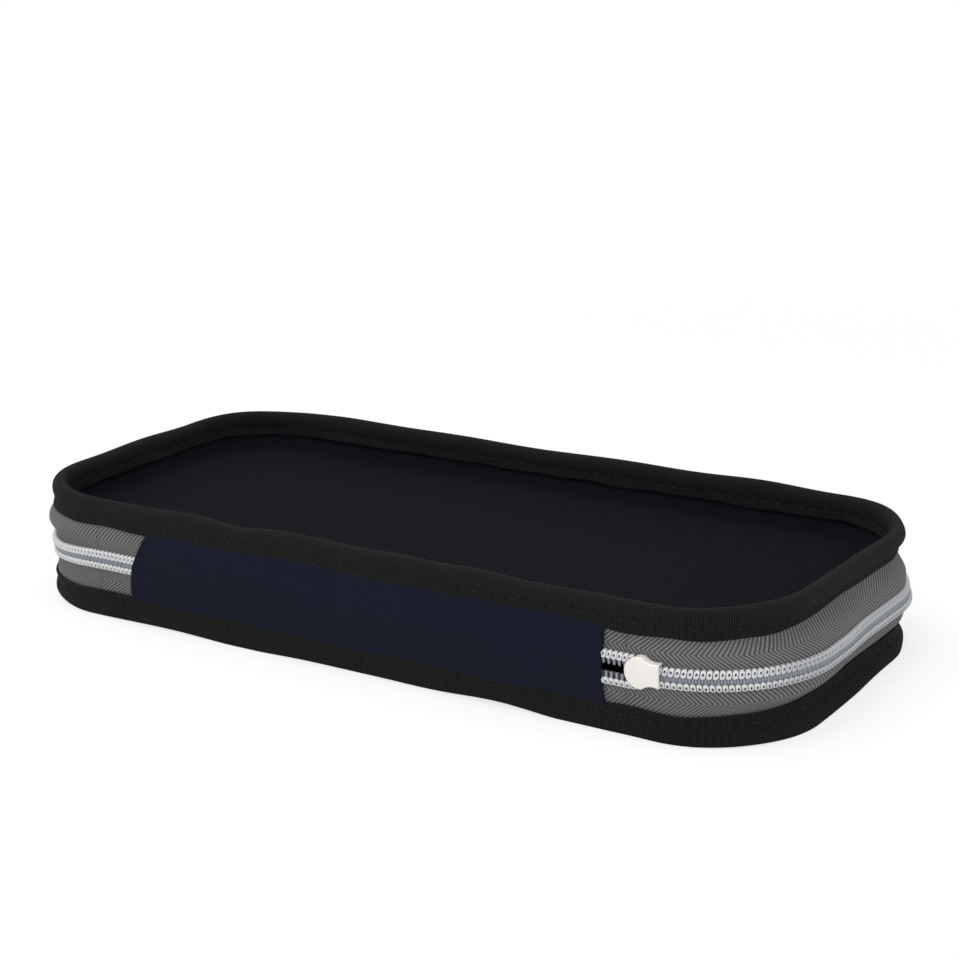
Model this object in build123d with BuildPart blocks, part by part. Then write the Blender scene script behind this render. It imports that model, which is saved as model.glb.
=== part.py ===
"""Slim zip-round console case, turned inside out and zipped shut, so that it stands as a shallow tray."""
import os

from build123d import *

# Overall size, in millimetres: the outer face of the two bound seams, and the height from floor to rim
case_length = 258.0
case_width = 117.0
case_height = 37.0
corner_radius = 32.0

# Bound seams: a tape folded over the raw edges, which stands up at the rim and down at the floor
binding_width = 8.0
binding_cloth = 0.8
binding_crown = 1.2
flange_thickness = 4.6
rim_fold_radius = 1.9
rim_inner_bevel = 1.2
foot_bevel = 1.0
ply_gap = 0.05
fold_room = 0.2

# Panels
panel_thickness = 3.0
tray_slope = 5.5
base_clearance = 0.2
base_edge_bevel = 2.4

# Zip tapes
tape_thickness = 0.6
tape_bulge = 0.15
tape_flare = 4.0
tape_edge_gap = 3.2
right_belly = 3.0
left_belly = 1.8

# Zip coils
chain_width = 5.8
coil_depth = 1.5
coil_seat = 0.05
tooth_pitch = 1.6
tooth_width = 0.6
tooth_overlap = 1.7
parted_gap = 2.0

# Spine, which ends short of the front corners by the straight runs of the zip beside it
zip_start_run = 12.3
zip_end_run = 19.0
spine_cloth = 0.8
spine_bow = 1.0
spine_set = 0.3
crease_gap = 0.6
spine_end_gap = 0.3

# Slider
slider_nose = 5.7
slider_tail = 5.3
slider_shoulder = 4.75
slider_neck = 3.5
slider_waist = 3.7
plate_thickness = 1.0
plate_edge_bevel = 0.35
coil_clearance = 0.2
tape_clearance = 0.7
lip_clearance = 0.15
shoulder_x = 0.0
neck_x = 2.6
wedge_nose = -5.2
wedge_cheek = -4.4
wedge_point = -1.2
wedge_half_height = 0.85
converge_start = -3.5
converge_end = 1.0

# Bail and pull tab, on the hidden side of the slider
bail_length = 7.2
bail_width = 2.0
bail_strap = 0.9
bail_window = 2.2
pull_bar = 1.2
pull_length = 24.0
pull_height = 5.0
pull_window = 5.2
pull_fork = 3.0
pull_corner = 1.6
pull_room = 1.0

# Places worked out from the sizes above
half_length = case_length / 2
half_width = case_width / 2
corner_x = half_length - corner_radius
zip_line = case_height / 2
upper_foot = case_height - binding_width
mid_plane = Plane.XY.offset(zip_line)

tape_inset = binding_cloth + ply_gap
edge_inset = tape_inset + tape_thickness + ply_gap
edge_end_inset = flange_thickness - binding_cloth - ply_gap
edge_foot = binding_crown + fold_room

tray_underside = zip_line + pull_height / 2 + pull_room
tray_floor = tray_underside + panel_thickness
base_underside = binding_width + base_clearance
base_top = base_underside + panel_thickness

coil_inner = tape_bulge + coil_seat
coil_reach = coil_inner + coil_depth
tooth_length = (chain_width + tooth_overlap) / 2
parted_shift = (tooth_overlap + parted_gap) / 2

spine_right = corner_x - zip_start_run
spine_left = zip_end_run - corner_x
slider_x = corner_x
slider_run = slider_x - spine_right - spine_end_gap


def seam_outline(inset, mode=Mode.ADD):
    """The case's rounded outline seen from above, a distance in from the outer face of the bindings."""
    RectangleRounded(case_length - 2 * inset, case_width - 2 * inset, corner_radius - inset, mode=mode)


def zip_outline(inset, share):
    """The rounded outline of the zip, with a share of its belly past the bindings at the two ends."""
    length = case_length - 2 * inset + share * (right_belly + left_belly)
    with Locations((share * (right_belly - left_belly) / 2, 0)):
        RectangleRounded(length, case_width - 2 * inset, corner_radius - inset + share * right_belly)


def zip_route():
    """The zip's way round the case, from the right end of the spine to its left end."""
    FilletPolyline(
        (spine_right + spine_end_gap, -half_width),
        (half_length + right_belly, -half_width),
        (half_length + right_belly, half_width),
        (-half_length - left_belly, half_width),
        (-half_length - left_belly, -half_width),
        (spine_left - spine_end_gap, -half_width),
        radius=corner_radius + right_belly,
    )


def parting(distance):
    """How far a tooth stands from its closed place: the coils part on the spine's side of the slider."""
    past_slider = distance - slider_run
    share = (converge_end - past_slider) / (converge_end - converge_start)
    return parted_shift * min(max(share, 0.0), 1.0)


def tooth_places(first, side):
    """One location for each tooth of a coil; side is +1 for the upper coil and -1 for the lower."""
    with BuildLine() as route:
        zip_route()
    run = route.wire()
    places = []
    for index in range(int(run.length / tooth_pitch - first)):
        distance = (index + first) * tooth_pitch
        point = run.position_at(distance, position_mode=PositionMode.LENGTH)
        along = run.tangent_at(distance, position_mode=PositionMode.LENGTH)
        height = zip_line + side * ((tooth_length - tooth_overlap) / 2 + parting(distance))
        inward = Vector(0, 0, 1).cross(along)
        centre = point - inward * (coil_inner + coil_depth / 2) + Vector(0, 0, height)
        places.append(Location(Plane(origin=centre, x_dir=inward, z_dir=along)))
    return places


# Lower half: binding on the floor, panel set back above it, tape rising to the zip
with BuildPart() as lower_binding:
    with BuildSketch():
        seam_outline(0)
        seam_outline(flange_thickness, Mode.SUBTRACT)
    extrude(amount=binding_width)
    chamfer(lower_binding.edges().group_by(Axis.Z)[0], foot_bevel)
    with BuildSketch(Plane.XY.offset(binding_crown)):
        seam_outline(binding_cloth)
        seam_outline(flange_thickness - binding_cloth, Mode.SUBTRACT)
    extrude(amount=binding_width, mode=Mode.SUBTRACT)

with BuildPart() as base_panel:
    with BuildSketch(Plane.XY.offset(edge_foot)):
        seam_outline(edge_inset)
    extrude(amount=base_top - edge_foot)
    chamfer(base_panel.edges().group_by(Axis.Z)[-1], base_edge_bevel)
    with BuildSketch(Plane.XY.offset(edge_foot)):
        seam_outline(edge_end_inset)
    extrude(amount=base_underside - edge_foot, mode=Mode.SUBTRACT)

tape_levels = [
    (edge_foot, tape_inset, 0),
    (binding_width, tape_inset, 0),
    (binding_width + tape_flare, -tape_bulge, 1),
    (zip_line - tape_edge_gap / 2, -tape_bulge, 1),
]
with BuildPart() as lower_zip_tape:
    for height, inset, share in tape_levels:
        with BuildSketch(Plane.XY.offset(height)):
            zip_outline(inset, share)
    loft(ruled=True)
    for height, inset, share in tape_levels:
        with BuildSketch(Plane.XY.offset(height)):
            zip_outline(inset + tape_thickness, share)
    loft(ruled=True, mode=Mode.SUBTRACT)
    with BuildSketch():
        with Locations(((spine_left + spine_right) / 2, -half_width)):
            Rectangle(spine_right - spine_left + 2 * spine_end_gap, corner_radius)
    extrude(amount=case_height, mode=Mode.SUBTRACT)

with BuildPart() as tooth:
    with BuildSketch(Plane.XZ):
        with BuildLine():
            Polyline(
                (-coil_depth / 2, tooth_width / 2),
                (coil_depth / 2, 0),
                (-coil_depth / 2, -tooth_width / 2),
                close=True,
            )
        make_face()
    extrude(amount=tooth_length / 2, both=True)

with BuildPart() as lower_zip_coil:
    with Locations(*tooth_places(0.5, -1)):
        add(tooth.part)

# Upper half: its binding is the rim of the tray, and its panel is the tray's floor
with BuildPart() as upper_binding:
    with BuildSketch(Plane.XY.offset(upper_foot)):
        seam_outline(0)
        seam_outline(flange_thickness, Mode.SUBTRACT)
    extrude(amount=binding_width)
    rim_face = upper_binding.faces().sort_by(Axis.Z)[-1]
    chamfer(rim_face.inner_wires()[0].edges(), rim_inner_bevel)
    rim_face = upper_binding.faces().sort_by(Axis.Z)[-1]
    fillet(rim_face.outer_wire().edges(), rim_fold_radius)
    with BuildSketch(Plane.XY.offset(upper_foot)):
        seam_outline(binding_cloth)
        seam_outline(flange_thickness - binding_cloth, Mode.SUBTRACT)
    extrude(amount=binding_width - binding_crown, mode=Mode.SUBTRACT)

with BuildPart() as lid_panel:
    with BuildSketch(Plane.XY.offset(tray_underside)):
        seam_outline(edge_inset + tray_slope)
    with BuildSketch(Plane.XY.offset(upper_foot)):
        seam_outline(edge_inset)
    loft(ruled=True)
    with BuildSketch(Plane.XY.offset(upper_foot)):
        seam_outline(edge_inset)
    extrude(amount=binding_width - edge_foot)
    with BuildSketch(Plane.XY.offset(tray_floor)):
        seam_outline(edge_end_inset + tray_slope)
    with BuildSketch(Plane.XY.offset(upper_foot)):
        seam_outline(edge_end_inset)
    loft(ruled=True, mode=Mode.SUBTRACT)
    with BuildSketch(Plane.XY.offset(upper_foot)):
        seam_outline(edge_end_inset)
    extrude(amount=binding_width, mode=Mode.SUBTRACT)

with BuildPart() as upper_zip_tape:
    mirror(lower_zip_tape.part, about=mid_plane)

with BuildPart() as upper_zip_coil:
    with Locations(*tooth_places(1.0, 1)):
        add(tooth.part)

# Spine: a bowed strip between the two creases
spine_foot = binding_width + crease_gap
spine_head = upper_foot - crease_gap
with BuildPart() as spine_panel:
    with BuildSketch(Plane(origin=(spine_left, -half_width, 0), x_dir=(0, 1, 0), z_dir=(1, 0, 0))):
        with BuildLine():
            inner = ThreePointArc(
                (spine_set, spine_foot), (spine_set - spine_bow, zip_line), (spine_set, spine_head)
            )
            outer = ThreePointArc(
                (spine_set - spine_cloth, spine_foot),
                (spine_set - spine_cloth - spine_bow, zip_line),
                (spine_set - spine_cloth, spine_head),
            )
            Line(inner @ 0, outer @ 0)
            Line(inner @ 1, outer @ 1)
        make_face()
    extrude(amount=spine_right - spine_left)

# Slider: two shield-shaped plates joined by a wedge, with lips that hold the coils from above and below
slider_face = Plane(origin=(slider_x, -half_width, zip_line), x_dir=(1, 0, 0), z_dir=(0, -1, 0))
slider_plan = Plane(origin=(slider_x, -half_width, zip_line), x_dir=(1, 0, 0), z_dir=(0, 0, 1))
slider_side = Plane(origin=(slider_x, -half_width, zip_line), x_dir=(0, 1, 0), z_dir=(1, 0, 0))
outer_plate_foot = coil_reach + coil_clearance
inner_plate_face = tape_bulge - tape_thickness - tape_clearance
lip_end = coil_inner + lip_clearance
channel_tail = chain_width / 2 + lip_clearance
channel_mouth = channel_tail + parted_shift
bail_foot = plate_thickness - inner_plate_face
pull_axis = bail_foot + bail_window / 2

with BuildSketch() as shield:
    with BuildLine():
        for side in (1, -1):
            TangentArc((-slider_nose, 0), (shoulder_x, side * slider_shoulder), tangent=(0, side))
            Spline(
                (shoulder_x, side * slider_shoulder),
                (neck_x, side * slider_neck),
                (slider_tail, side * slider_waist),
            )
        Line((slider_tail, slider_waist), (slider_tail, -slider_waist))
    make_face()

with BuildPart() as zip_slider:
    with BuildSketch(slider_face.offset(outer_plate_foot)):
        add(shield.sketch)
    extrude(amount=plate_thickness)
    chamfer(zip_slider.faces().sort_by(Axis.Y)[0].edges(), plate_edge_bevel)
    with BuildSketch(slider_face.offset(inner_plate_face)):
        add(shield.sketch)
    extrude(amount=-plate_thickness)
    with BuildSketch(slider_face.offset(lip_end)):
        add(shield.sketch)
        with BuildLine():
            Polyline(
                (-slider_nose, channel_mouth),
                (converge_start, channel_mouth),
                (converge_end, channel_tail),
                (slider_tail, channel_tail),
                (slider_tail, -channel_tail),
                (converge_end, -channel_tail),
                (converge_start, -channel_mouth),
                (-slider_nose, -channel_mouth),
                close=True,
            )
        make_face(mode=Mode.SUBTRACT)
    extrude(amount=outer_plate_foot - lip_end)
    with BuildSketch(slider_face.offset(inner_plate_face)):
        with BuildLine():
            Polyline(
                (wedge_nose, 0),
                (wedge_cheek, wedge_half_height),
                (converge_start, wedge_half_height),
                (wedge_point, 0),
                (converge_start, -wedge_half_height),
                (wedge_cheek, -wedge_half_height),
                close=True,
            )
        make_face()
    extrude(amount=outer_plate_foot - inner_plate_face)
    with BuildSketch(slider_plan):
        with Locations((0, bail_foot)):
            Rectangle(bail_length, bail_window + bail_strap, align=(Align.CENTER, Align.MIN))
            Rectangle(
                bail_length - 2 * bail_strap, bail_window, align=(Align.CENTER, Align.MIN), mode=Mode.SUBTRACT
            )
    extrude(amount=bail_width / 2, both=True)
    fillet(zip_slider.edges().filter_by(Axis.Z).group_by(Axis.Y)[-1], bail_strap)

with BuildPart() as zip_pull:
    with BuildSketch(slider_side) as tab:
        with Locations((pull_axis, 0)):
            Rectangle(pull_length, pull_height, align=(Align.MIN, Align.CENTER))
        fillet(tab.vertices().group_by(Axis.Y)[-1], pull_corner)
        with Locations((pull_axis, 0)):
            Rectangle(pull_window, pull_fork, align=(Align.MIN, Align.CENTER), mode=Mode.SUBTRACT)
    extrude(amount=pull_bar / 2, both=True)
    with Locations(slider_plan):
        with Locations((0, pull_axis)):
            Cylinder(pull_bar / 2, pull_height)

pieces = {
    "lower_binding": lower_binding,
    "base_panel": base_panel,
    "lower_zip_tape": lower_zip_tape,
    "lower_zip_coil": lower_zip_coil,
    "upper_binding": upper_binding,
    "lid_panel": lid_panel,
    "upper_zip_tape": upper_zip_tape,
    "upper_zip_coil": upper_zip_coil,
    "spine_panel": spine_panel,
    "zip_slider": zip_slider,
    "zip_pull": zip_pull,
}
os.makedirs("parts", exist_ok=True)
for node, piece in pieces.items():
    piece.part.label = node
    export_step(piece.part, f"parts/{node}.step")
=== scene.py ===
# %% [markdown]
# # A slim zip-round case, turned inside out and zipped shut
# The real thing is two padded cloth panels, each with a bound edge, joined by a zip that runs round three sides and by
# a strip of cloth, the spine, along the front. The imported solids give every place, so we load them first and build
# cloth, coil and thread around them.

# %% Load the frame
import math

import bmesh
import bpy
import numpy as np
from mathutils import Matrix, Vector


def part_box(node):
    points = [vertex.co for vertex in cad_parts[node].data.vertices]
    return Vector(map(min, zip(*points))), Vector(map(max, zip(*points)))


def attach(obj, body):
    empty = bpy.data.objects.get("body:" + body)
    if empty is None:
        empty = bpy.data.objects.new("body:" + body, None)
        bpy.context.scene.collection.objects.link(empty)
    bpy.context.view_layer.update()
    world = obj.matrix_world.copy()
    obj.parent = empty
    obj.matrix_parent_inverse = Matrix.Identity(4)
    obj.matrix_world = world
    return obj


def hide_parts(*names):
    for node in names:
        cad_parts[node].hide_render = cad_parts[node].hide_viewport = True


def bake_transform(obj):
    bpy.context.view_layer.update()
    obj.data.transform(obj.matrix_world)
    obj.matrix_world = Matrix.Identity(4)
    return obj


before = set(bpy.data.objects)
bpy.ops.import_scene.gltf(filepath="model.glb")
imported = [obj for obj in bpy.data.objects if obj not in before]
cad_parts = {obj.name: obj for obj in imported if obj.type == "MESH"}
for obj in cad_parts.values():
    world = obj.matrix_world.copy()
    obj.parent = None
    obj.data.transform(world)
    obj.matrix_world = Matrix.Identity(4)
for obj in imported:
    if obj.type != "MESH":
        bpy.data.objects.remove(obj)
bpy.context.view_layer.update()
print("solids:", sorted(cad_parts))

# %% [markdown]
# ## Camera
# The camera stands to the right and a little above, where the straight seams of the real case line up with the
# photograph. Its lens and place came from fitting the case's outline, so no shift is needed.

# %% Set the camera
MM = 0.001
camera_lens = 80.572
camera_azimuth, camera_elevation, camera_roll = 33.605, 16.259, -1.2214
camera_distance = 717.376 * MM
camera_target = Vector((-34.63, 64.386, 20.0)) * MM

turn, lift, lean = (math.radians(a) for a in (camera_azimuth, camera_elevation, camera_roll))
back = Vector((math.sin(turn) * math.cos(lift), -math.cos(turn) * math.cos(lift), math.sin(lift)))
level = (-back).cross(Vector((0, 0, 1))).normalized()
upright = level.cross(-back)
right = math.cos(lean) * level + math.sin(lean) * upright
up = -math.sin(lean) * level + math.cos(lean) * upright
camera = bpy.data.objects.new("camera", bpy.data.cameras.new("camera"))
camera.data.lens = camera_lens
camera.data.clip_start, camera.data.clip_end = 0.01, 20
camera.matrix_world = Matrix.LocRotScale(
    camera_target + back * camera_distance, Matrix((right, up, back)).transposed().to_quaternion(), None
)
bpy.context.scene.collection.objects.link(camera)
bpy.context.scene.camera = camera
print("camera at", tuple(round(c, 4) for c in camera.matrix_world.translation))

# %% [markdown]
# ## The seam line and the zip line
# Bindings run round a rounded rectangle, and the zip runs round another that bellies out past it at the two ends. One
# function gives points and outward directions on both. Distances start at the middle of the front and go anticlockwise,
# seen from above, over nine straight or curved legs.

# %% Walk round the outlines
half_length, half_width, case_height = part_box("upper_binding")[1]
corner_radius = 32 * MM
zip_belly, left_belly = 3 * MM, 1.8 * MM
corner_x, corner_y = half_length - corner_radius, half_width - corner_radius
zip_line = case_height / 2


def leg_starts(belly):
    """Where each leg of an outline starts, and where the last one ends."""
    quarter = math.pi / 2 * (corner_radius + belly)
    side = 2 * (corner_y - belly)
    left = corner_x - belly * (1 - left_belly / zip_belly)
    legs = [corner_x, quarter, side, quarter, corner_x + left, quarter, side, quarter, left]
    return np.concatenate([[0], np.cumsum(legs)])


def legs_along(distance, belly=0.0):
    """Turns distances along an outline into numbers of legs passed."""
    return np.interp(distance, leg_starts(belly), np.arange(10))


def outline_at(legs, belly=0.0):
    """Points and outward directions, seen from above, after a number of legs."""
    leg = np.clip(np.floor(legs), 0, 8).astype(int)
    share = legs - leg
    heading = (leg + 1) // 2 % 4 * (math.pi / 2) - math.pi / 2
    bend = np.where(leg % 2 == 1, (share - 1) * math.pi / 2, 0)
    outward = np.stack([np.cos(heading + bend), np.sin(heading + bend)], 1)
    left, depth = belly * (1 - left_belly / zip_belly) - corner_x, corner_y - belly
    centre_x = np.select(
        [leg == 0, leg == 4, leg == 8, leg > 4],
        [share * corner_x, corner_x + share * (left - corner_x), left * (1 - share), left + 0 * share], corner_x,
    )
    centre_y = np.select(
        [leg == 2, leg == 6, (leg > 2) & (leg < 6)],
        [depth * (2 * share - 1), depth * (1 - 2 * share), depth + 0 * share], -depth,
    )
    return np.stack([centre_x, centre_y], 1) + (corner_radius + belly) * outward, outward


seam_length, zip_round = leg_starts(0)[-1], leg_starts(zip_belly)[-1]
spine_low, spine_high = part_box("spine_panel")
zip_start, zip_end = spine_high.x + 0.3 * MM, zip_round + spine_low.x - 0.3 * MM
print(f"seam {seam_length:.4f} m, zip {zip_end - zip_start:.4f} m")

# %% [markdown]
# ## Bands of cloth
# A binding or a tape is one section carried round the seam. A section is a smooth line through a few chosen points,
# given a thickness, so its edges are rounded. Each band keeps its own UV map in metres, along and across the cloth, and
# the weave is drawn in those.

# %% Helpers for bands
def smooth_line(control, count):
    """Points evenly spaced on a smooth line through the control points, in metres."""
    points = np.array(control, float) * MM
    ends = np.vstack([2 * points[0] - points[1], points, 2 * points[-1] - points[-2]])
    share = np.linspace(0, 1, 24, endpoint=False)[:, None]
    pieces = []
    for a, b, c, d in zip(ends[:-3], ends[1:-2], ends[2:-1], ends[3:]):
        curve = (2 * a - 5 * b + 4 * c - d) * share**2 + (3 * b - a - 3 * c + d) * share**3
        pieces.append(0.5 * (2 * b + (c - a) * share + curve))
    line = np.vstack(pieces + [points[-1:]])
    run = np.concatenate([[0], np.cumsum(np.linalg.norm(np.diff(line, axis=0), axis=1))])
    want = np.linspace(0, run[-1], count)
    return np.stack([np.interp(want, run, line[:, k]) for k in (0, 1)], 1)


def ribbon(control, thickness, count):
    """A closed section round a line: how far out, how high, and the distance across the cloth, for each point."""
    line = smooth_line(control, count)
    tangent = np.gradient(line, axis=0)
    tangent /= np.linalg.norm(tangent, axis=1)[:, None]
    side = np.stack([tangent[:, 1], -tangent[:, 0]], 1) * thickness * MM / 2
    across = np.concatenate([[0], np.cumsum(np.linalg.norm(np.diff(line, axis=0), axis=1))])
    tip = tangent[[0, -1]] * thickness * MM * 0.42
    ring = np.vstack([line + side, line[-1:] + tip[1:], (line - side)[::-1], line[:1] - tip[:1]])
    measure = np.concatenate([across, across[-1:], across[::-1], across[:1]])
    return ring[:, 0], ring[:, 1], measure


def soft_wave(distance, seed, low=5, high=23):
    """A gentle irregular wave between about -1 and 1 that closes on itself round the seam."""
    draw = np.random.default_rng(seed)
    value = np.zeros_like(distance)
    for beat in range(low, high, 3):
        value += draw.normal(0, 1) * np.sin(2 * math.pi * beat * distance / seam_length + draw.uniform(0, 6.28))
    return value / 2.6


def bump_at(distance, x, width):
    """A smooth hump at a place on the front."""
    gap = (distance - x + seam_length / 2) % seam_length - seam_length / 2
    return np.exp(-((gap / width) ** 2))


def between(value, rise_start, rise_end, fall_start, fall_end):
    """A smooth window that is 0 outside and 1 inside."""
    up_share = np.clip((value - rise_start) / (rise_end - rise_start), 0, 1)
    down_share = np.clip((fall_end - value) / (fall_end - fall_start), 0, 1)
    share = np.minimum(up_share, down_share)
    return share * share * (3 - 2 * share)


def mesh_piece(name, points, faces, material, uv=None, smooth=True):
    """A mesh object at the origin, with its faces pointing outwards."""
    mesh = bpy.data.meshes.new(name)
    mesh.from_pydata(points.tolist(), [], faces)
    if uv is not None:
        mesh.uv_layers.new(name="cloth").data.foreach_set("uv", np.asarray(uv, np.float32).ravel())
    mesh.polygons.foreach_set("use_smooth", [smooth] * len(mesh.polygons))
    mesh.materials.append(material)
    piece = bpy.data.objects.new(name, mesh)
    bpy.context.scene.collection.objects.link(piece)
    return piece


def band(name, distance, line, outward, out, height, measure, material, closed=False):
    """Carries a section along a line of points. Out and height have one row for each point."""
    stations, ring = out.shape
    corners = np.empty((stations, ring, 3))
    corners[..., :2] = line + outward[:, None, :] * out[..., None]
    corners[..., 2] = height
    along = np.append(distance, distance[0] + seam_length) if closed else distance
    faces, uv = [], []
    for i in range(stations if closed else stations - 1):
        j = (i + 1) % stations
        for k in range(ring):
            m = (k + 1) % ring
            faces.append((i * ring + k, i * ring + m, j * ring + m, j * ring + k))
            uv += [(along[i], measure[k]), (along[i], measure[m])]
            uv += [(along[i + 1], measure[m]), (along[i + 1], measure[k])]
    if not closed:
        first, last = range(ring), range((stations - 1) * ring, stations * ring)
        faces += [tuple(reversed(first)), tuple(last)]
        uv += [(along[0], measure[k]) for k in reversed(first)] + [(along[-1], measure[k]) for k in first]
    piece = mesh_piece(name, corners.reshape(-1, 3), faces, material, uv)
    print(f"{name}: {len(faces)} faces, {abs(along[-1] - along[0]):.3f} m long")
    return piece


# %% [markdown]
# ## Finishes
# Every cloth here is a weave, so two small node groups do the work: one turns a distance into even ribs, and one gives
# the slow, uneven fading that all cloth has. Each material keeps its own Principled shader and its own scale.

# %% Node helpers
def link_up(tree, kind, settings=None, **inputs):
    """Adds a node, sets its options, and fills its inputs by position (i0, i1) with values or links."""
    node = tree.nodes.new(kind)
    for option, value in (settings or {}).items():
        setattr(node, option, value)
    for place, value in inputs.items():
        socket = node.inputs[int(place[1:])]
        if isinstance(value, bpy.types.NodeSocket):
            tree.links.new(value, socket)
        else:
            socket.default_value = value
    return node


def maths(tree, operation, a, b=0.0, c=0.0):
    return link_up(tree, "ShaderNodeMath", {"operation": operation}, i0=a, i1=b, i2=c).outputs[0]


def blend_colour(tree, share, a, b):
    node = link_up(tree, "ShaderNodeMix", {"data_type": "RGBA"}, i0=share, i6=a, i7=b)
    return node.outputs[2]


def grey_range(tree, value, low, high):
    return link_up(tree, "ShaderNodeMapRange", None, i0=value, i3=low, i4=high).outputs[0]


def shader_group(name, inputs, outputs):
    group = bpy.data.node_groups.new(name, "ShaderNodeTree")
    for label, value in inputs:
        group.interface.new_socket(label, in_out="INPUT", socket_type="NodeSocketFloat").default_value = value
    for label in outputs:
        group.interface.new_socket(label, in_out="OUTPUT", socket_type="NodeSocketFloat")
    return group, group.nodes.new("NodeGroupInput"), group.nodes.new("NodeGroupOutput")


# %% Rib group: even ribs at a pitch, round on top
ribs_group, source, result = shader_group("even_ribs", [("Distance", 0), ("Pitch", 0.001)], ["Height"])
turns = maths(ribs_group, "DIVIDE", source.outputs[0], source.outputs[1])
wave = maths(ribs_group, "COSINE", maths(ribs_group, "MULTIPLY", turns, 2 * math.pi))
ribs_group.links.new(maths(ribs_group, "MULTIPLY_ADD", wave, 0.5, 0.5), result.inputs[0])

# %% Fading group: slow cloudy change with a finer lint over it
fade_group, source, result = shader_group("cloth_fading", [("Cloud Scale", 60), ("Lint Scale", 900)], ["Cloud", "Lint"])
place = fade_group.nodes.new("ShaderNodeTexCoord").outputs["Object"]
for index, detail in ((0, 2.0), (1, 1.0)):
    noise = link_up(fade_group, "ShaderNodeTexNoise", None, i0=place, i2=source.outputs[index], i3=detail)
    fade_group.links.new(noise.outputs[0], result.inputs[index])
print("shared groups:", [g.name for g in bpy.data.node_groups])


def start_finish(name, roughness, sheen=0.0, sheen_roughness=0.5, specular=0.5):
    """A material with a Principled shader whose constant values sit on its own sockets."""
    material = bpy.data.materials.new(name)
    material.use_nodes = True
    tree = material.node_tree
    shader = tree.nodes["Principled BSDF"]
    shader.inputs["Roughness"].default_value = roughness
    shader.inputs["Sheen Weight"].default_value = sheen
    shader.inputs["Sheen Roughness"].default_value = sheen_roughness
    shader.inputs["Specular IOR Level"].default_value = specular
    return material, tree, shader


def use_group(tree, group, **values):
    node = tree.nodes.new("ShaderNodeGroup")
    node.node_tree = group
    for label, value in values.items():
        socket = node.inputs[label.replace("_", " ")]
        if isinstance(value, bpy.types.NodeSocket):
            tree.links.new(value, socket)
        else:
            socket.default_value = value
    return node


def cloth_axes(tree):
    """The distances along and across the cloth, from its UV map."""
    uv = tree.nodes.new("ShaderNodeTexCoord").outputs["UV"]
    split = link_up(tree, "ShaderNodeSeparateXYZ", None, i0=uv)
    return split.outputs[0], split.outputs[1]


def add_bump(tree, shader, height, depth, strength=1.0):
    bump = tree.nodes.new("ShaderNodeBump")
    bump.inputs["Strength"].default_value = strength
    bump.inputs["Distance"].default_value = depth
    tree.links.new(height, bump.inputs["Height"])
    tree.links.new(bump.outputs[0], shader.inputs["Normal"])


# %% [markdown]
# ### Binding: black grosgrain
# The bound edges are a ribbed black tape. Its ribs cross the width about twice a millimetre, and the crests catch a
# little more light than the grooves.

# %% Make the binding cloth
binding_rib = 0.66 * MM
binding_cloth, tree, shader = start_finish("binding_grosgrain", 0.88, sheen=0.01, specular=0.08)
along, across = cloth_axes(tree)
ribs = use_group(tree, ribs_group, Distance=along, Pitch=binding_rib).outputs[0]
yarn = use_group(tree, ribs_group, Distance=across, Pitch=0.55 * MM).outputs[0]
fading = use_group(tree, fade_group, Cloud_Scale=45.0, Lint_Scale=1500.0)
crossed = maths(tree, "MULTIPLY", ribs, grey_range(tree, yarn, 0.45, 1.0))
shade = blend_colour(tree, crossed, (0.0002, 0.0002, 0.0002, 1), (0.0185, 0.0195, 0.0200, 1))
worn = blend_colour(tree, grey_range(tree, fading.outputs["Cloud"], 0.0, 0.2), shade, (0.008, 0.0085, 0.009, 1))
dusty = blend_colour(tree, grey_range(tree, fading.outputs["Lint"], 0.0, 0.05), worn, (0.05, 0.05, 0.05, 1))
tree.links.new(dusty, shader.inputs["Base Color"])
add_bump(tree, shader, maths(tree, "MULTIPLY_ADD", yarn, 0.3, ribs), 0.30 * MM)

# %% [markdown]
# ### Zip tape: grey herringbone
# The tape is woven so that its light yarns climb one way on one half and the other way on the other. Folding the
# distance across the tape about its middle line gives that chevron from a single set of stripes. The upper tape's map
# runs the other way along, so its chevrons point back towards the slider.

# %% Make the tape cloth
tape_stripe = 1.40 * MM
tape_middle = 6.9 * MM
tape_cloth, tree, shader = start_finish("zip_tape_herringbone", 0.85, sheen=0.04, specular=0.15)
along, across = cloth_axes(tree)
folded = maths(tree, "ABSOLUTE", maths(tree, "SUBTRACT", across, tape_middle))
place = tree.nodes.new("ShaderNodeTexCoord").outputs["Object"]
drift = link_up(tree, "ShaderNodeTexNoise", None, i0=place, i2=160.0, i3=1.0)
wander = maths(tree, "MULTIPLY_ADD", drift.outputs[0], 1.1 * MM, along)
climb = maths(tree, "MULTIPLY_ADD", folded, 1.15, wander)
stripes = use_group(tree, ribs_group, Distance=climb, Pitch=tape_stripe).outputs[0]
warp = use_group(tree, ribs_group, Distance=across, Pitch=0.44 * MM).outputs[0]
weft = use_group(tree, ribs_group, Distance=along, Pitch=0.48 * MM).outputs[0]
fading = use_group(tree, fade_group, Cloud_Scale=55.0, Lint_Scale=1400.0)
clear = grey_range(tree, drift.outputs[0], 0.55, 1.35)
bold = maths(tree, "MULTIPLY_ADD", maths(tree, "SUBTRACT", maths(tree, "POWER", stripes, 0.6), 0.62), clear, 0.62)
dashed = maths(tree, "MULTIPLY", bold, grey_range(tree, warp, 0.6, 1.0))
shade = blend_colour(tree, dashed, (0.008, 0.008, 0.009, 1), (0.24, 0.234, 0.226, 1))
shade = blend_colour(tree, grey_range(tree, weft, 0.22, 0.0), shade, (0.02, 0.02, 0.021, 1))
clouded = blend_colour(tree, grey_range(tree, fading.outputs["Cloud"], 0.0, 0.18), shade, (0.10, 0.10, 0.10, 1))
tree.links.new(clouded, shader.inputs["Base Color"])
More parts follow.
